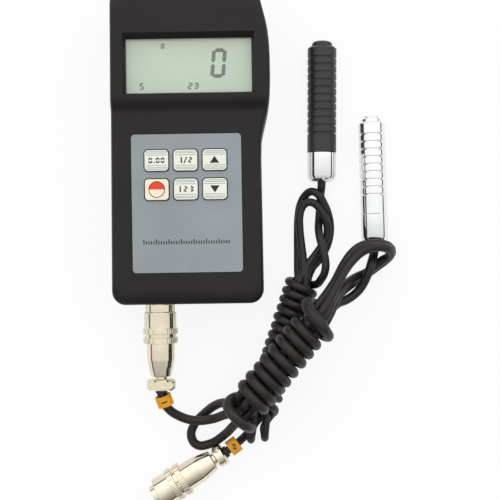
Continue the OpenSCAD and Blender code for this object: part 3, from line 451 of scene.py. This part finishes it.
# moulded switch plastic: dull black
switch_plastic = grained("black_switch_plastic", "#232325", "#2e2e30",
                         drift=4, grain=0.3, rough=0.45, bump=0.1)
skin("key_switches", switch_plastic)
# shrunk cell wrap: even brass yellow with a soft gloss
cell_wrap = grained("cell_wrap", "#b8872f", "#c69a3e", drift=12, grain=0.3, rough=0.3, bump=0.04)
skin("battery_cells", cell_wrap)
# nickel plated spring steel: bright grey
contact_steel = grained("nickel_plated_spring_steel", "#b5b7b8", "#c8c9c9",
                        drift=3, grain=0.2, rough=0.25, bump=0.06, metallic=1.0)
skin("battery_contacts", contact_steel, soften=0)

# Keypad. A grey printed film glued to the front shell, round six moulded keys that press on switches.
# Each key has a print and a black rim, which is painted shade for the dark gap round it; the power key is
# cream with a red half disc.
# printed label film: flat blue grey, satin
film = grained("grey_label_film", "#8d969b", "#98a1a4", drift=25, grain=0.3, rough=0.5, bump=0.06)
skin("key_label", film, soften=0.05)
# print: dense and flat, in black, silver and red; the black also serves as painted shade on the key rims
print_and_rim_shade_ink = grained("black_print_and_rim_shade", "#151213", "#1c1819", drift=4, grain=0.2, rough=0.5, bump=0.03)
stripe_ink = grained("silver_print", "#a9b2a7", "#b6bfb3", drift=4, grain=0.2, rough=0.4, bump=0.03)
red_ink = grained("red_print", "#ee3415", "#f23e1d", drift=4, grain=0.2, rough=0.4, bump=0.03)
# moulded key plastic: warm white, or cream on the power key, with a soft sheen
key_plastic = grained("white_key_plastic", "#f1f1e6", "#f7f7ec", drift=8, grain=0.3, rough=0.4, bump=0.05)
cream_plastic = grained("cream_key_plastic", "#faeed4", "#fdf2da",
                        drift=8, grain=0.3, rough=0.4, bump=0.05)


def oblong(left, low, right, high):
    """Outline of a printed bar."""
    return [(left, low), (right, low), (right, high), (left, high)]


def key_figure(bars, x):
    """Outlines of one printed figure on a key, half above and half below its middle."""
    return digit(bars, x, -1.2, 1.6, 2.4, 0.6)


symbols = {
    "zero": [bar for x in (-3.2, -0.3, 1.7) for bar in key_figure("abcdef", x)]
            + [oblong(-1.15, -1.2, -0.65, -0.7)],
    "mode": [oblong(-1.9, -1.2, -1.35, 1.2), [(-0.8, -1.3), (-0.3, -1.3), (0.8, 1.3), (0.3, 1.3)]]
            + key_figure("abdeg", 1.1),
    "up": [[(-1.9, -1.3), (1.9, -1.3), (0, 1.5)]],
    "down": [[(0, -1.5), (1.9, 1.3), (-1.9, 1.3)]],
    "select": [oblong(-2.5, -1.2, -1.95, 1.2)] + key_figure("abdeg", -0.9) + key_figure("abcdg", 1.5),
}
stripe_reach = 4.2
stripe_half = 0.16
stripes = [oblong(-stripe_reach, side * level - stripe_half, stripe_reach, side * level + stripe_half)
           for side in (-1, 1) for level in (2.1, 2.9, 3.5)]
arcs = 40
ring = [(math.cos(i * math.tau / arcs), math.sin(i * math.tau / arcs)) for i in range(arcs + 1)]
print_lift = Vector((0, 0, 0.02 * MM))
for key in ("zero", "mode", "up", "power", "select", "down"):
    body = "key_" + key
    cream = key == "power"
    cap = skin(body, cream_plastic if cream else key_plastic, body=body, soften=0.45)
    # the softened rim of each key is painted black, as painted shade for the shadowed gap round it
    cap.data.materials.append(print_and_rim_shade_ink)
    cap.modifiers["soft_edges"].material = 1
    low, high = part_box(body)
    face = Vector(((low.x + high.x) / 2, (low.y + high.y) / 2, high.z)) + print_lift
    place = Matrix.Translation(face)
    if cream:
        lift = Matrix.Translation(face + print_lift)
        for part, radius, arc, where, ink in (("outline", 3.3, ring[:arcs], place, print_and_rim_shade_ink),
                                              ("lower", 3, ring[arcs // 2:], lift, cream_plastic),
                                              ("upper", 3, ring[:arcs // 2 + 1], lift, red_ink)):
            disc = [(radius * u, radius * v) for u, v in arc]
            decal(f"{body}_{part}", [disc], where, ink, body)
    else:
        decal(body + "_stripes", stripes, place, stripe_ink, body)
        decal(body + "_symbol", symbols[key], place, print_and_rim_shade_ink, body)
on_label = Matrix.Translation(Vector((0, 0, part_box("key_label")[1].z)) + print_lift)
tick_foot = -39
tick_half = 0.22
ticks = [oblong(x - tick_half, tick_foot, x + tick_half, tick_foot + tall)
         for i in range(35) for x, tall in [(-17.4 + i, 2 if i % 5 == 0 else 1.3)]]
decal("label_scale", ticks, on_label, print_and_rim_shade_ink, "gauge")

# Socket and plugs. Turned brass with nickel plate: the panel socket with its nut, and two plugs.
# Each plug has a sprung locking sleeve with knurled rings, a tapered backshell, a screwed clamp and a tag.
# polished nickel plate: pale champagne, bright, with thin dark lines along each turned step
nickel = grained("champagne_nickel", "#e3d8c0", "#efe5cf",
                 drift=5, grain=0.3, rough=0.13, bump=0.02, metallic=1.0)
# moulded insert plastic: dull black, seen only in the open end of the loose plug
insert_plastic = grained("black_insert_plastic", "#1f1d1b", "#292624",
                         drift=3, grain=0.3, rough=0.5, bump=0.1)
# gilt pins and drawn spring steel: bright, hidden inside
pin_brass = grained("gilt_pin_brass", "#c9a24c", "#dcb866",
                    drift=2, grain=0.2, rough=0.25, bump=0.04, metallic=1.0)
spring_steel = grained("bright_spring_steel", "#b0b2b4", "#c2c4c5",
                       drift=2, grain=0.2, rough=0.25, bump=0.05, metallic=1.0)
# moulded rubber: dull black, a little rough
bush_rubber = grained("black_bush_rubber", "#1d1b1b", "#282525", drift=3, grain=0.3, rough=0.6, bump=0.15)
# printed vinyl sleeve: flat orange with a black number
tag_vinyl = grained("orange_marker_vinyl", "#e59a14", "#efab22",
                    drift=3, grain=0.3, rough=0.45, bump=0.08)
skin("socket_shell", nickel)
skin("socket_nut", nickel)
skin("socket_insert", insert_plastic)
skin("socket_pins", pin_brass)
at_plug = Matrix.Translation((-12.3 * MM, -66.6 * MM, 13 * MM)) @ Matrix.Rotation(math.radians(90), 4, "X")
at_loose = (Matrix.Translation((-14.4 * MM, -142.5 * MM, 7.56 * MM))
            @ Matrix.Rotation(math.radians(31), 4, "Z") @ Matrix.Rotation(math.radians(92.5), 4, "Y"))
# bottom, top and radius of both grip rings in mm, and their straight knurl,
# which is coarser than the photo hints at, so that its teeth can be seen
grip_rings = ((6.7, 8.8, 7.1), (10.4, 12.6, 7.0))
teeth = 48
steps = 3 * teeth
proud = 0.06
notch = -0.1
sunk = -0.3
for plug, place in (("plug", at_plug), ("loose", at_loose)):
    sleeve = plug + "_sleeve"
    skin(plug + "_shell", nickel)
    skin(plug + "_insert", insert_plastic)
    skin(sleeve, nickel, body=sleeve)
    skin(plug + "_backshell", nickel)
    skin(plug + "_clamp", nickel)
    skin(plug + "_bush", bush_rubber)
    skin(plug + "_tag", tag_vinyl, soften=0.2)
    spring = skin(plug + "_spring", spring_steel, soften=0)
    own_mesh(spring)
    rings = bmesh.new()
    for low, high, radius in grip_rings:
        rows = []
        for level, deep, cut in ((low, sunk, 0), (low, proud, notch),
                                 (high, proud, notch), (high, sunk, 0)):
            row = []
            for k in range(steps):
                out = (radius + deep + (0 if k % 3 else cut)) * MM
                turn = k * math.tau / steps
                spot = Vector((out * math.cos(turn), out * math.sin(turn), level * MM))
                row.append(rings.verts.new(place @ spot))
            rows.append(row)
        for inner, outer in zip(rows, rows[1:]):
            for k in range(steps):
                rings.faces.new((inner[k - 1], inner[k], outer[k], outer[k - 1]))
    knurl = bpy.data.objects.new(sleeve + "_knurl", bpy.data.meshes.new(sleeve + "_knurl"))
    rings.to_mesh(knurl.data)
    rings.free()
    knurl.data.materials.append(nickel)
    scene.collection.objects.link(knurl)
    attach(knurl, sleeve)
skin("clamp_screws", nickel)
# marker print: brown black, flat
tag_ink = grained("marker_print", "#2a1d12", "#33251a", drift=2, grain=0.2, rough=0.5, bump=0.03)
one = [oblong(-0.3, -1.2, 0.3, 1.2)]
two = digit("abdeg", -0.9, -1.2, 1.8, 2.4, 0.5)
# height of a tag's flat face; each tag's middle in mm, the way its number reads and the way it faces
tag_face = 2.66
tags = (("plug", one, (-11.23, -103.06, 12.32), (0.315, -0.929, -0.199), (0.064, -0.189, 0.98)),
        ("loose", two, (16.84, -123.38, 5.68), (0.801, 0.585, -0.127), (0.103, 0.075, 0.992)))
for plug, number, middle, run, up in tags:
    run, up = Vector(run).normalized(), Vector(up).normalized()
    flat = Matrix((run, up.cross(run), up)).transposed().to_4x4()
    flat.translation = (Vector(middle) + tag_face * up) * MM
    decal(plug + "_tag_number", number, flat, tag_ink, "gauge")

# Probes. A chromed steel one and a black plastic one, turned, each with a grooved grip and a chromed tail.
# The tip slides in the grip on a spring and carries a steel pole.
# polished chrome: white with thin dark lines at each groove
chrome = grained("polished_chrome", "#eeeff0", "#f4f5f6",
                 drift=6, grain=0.3, rough=0.07, bump=0.01, metallic=1.0)
# turned grip plastic: dark warm grey with a soft sheen along its top
grip_plastic = grained("black_grip_plastic", "#292526", "#2f2b2c",
                       drift=8, grain=0.3, rough=0.34, bump=0.06)
# ground pole steel: plain grey
pole_steel = grained("ground_pole_steel", "#9a9c9e", "#aeb0b1",
                     drift=1, grain=0.15, rough=0.25, bump=0.05, metallic=1.0)
at_bright = (Matrix.Translation((76.3 * MM, 13.4 * MM, 5.6 * MM))
             @ Matrix.Rotation(math.radians(0.86), 4, "Z") @ Matrix.Rotation(math.radians(90), 4, "X"))
at_black = (Matrix.Translation((56.3 * MM, 44.9 * MM, 6 * MM))
            @ Matrix.Rotation(math.radians(-1.07), 4, "Z") @ Matrix.Rotation(math.radians(90), 4, "X"))
for probe, shell, place in (("bright", chrome, at_bright), ("black", grip_plastic, at_black)):
    tip = probe + "_tip"
    skin(probe + "_grip", shell, soften=0)
    skin(tip, shell, body=tip, soften=0.1)
    skin(probe + "_pole", pole_steel, body=tip, soften=0)
    spring = skin(probe + "_spring", spring_steel, soften=0)
    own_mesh(spring)
    skin(probe + "_tail", chrome, soften=0)
# the chrome in the photo shows no dark case beside it, so the two shells are left out of what metal mirrors
for piece in ("front_shell_skin", "rear_shell_skin"):
    bpy.data.objects[piece].visible_glossy = False
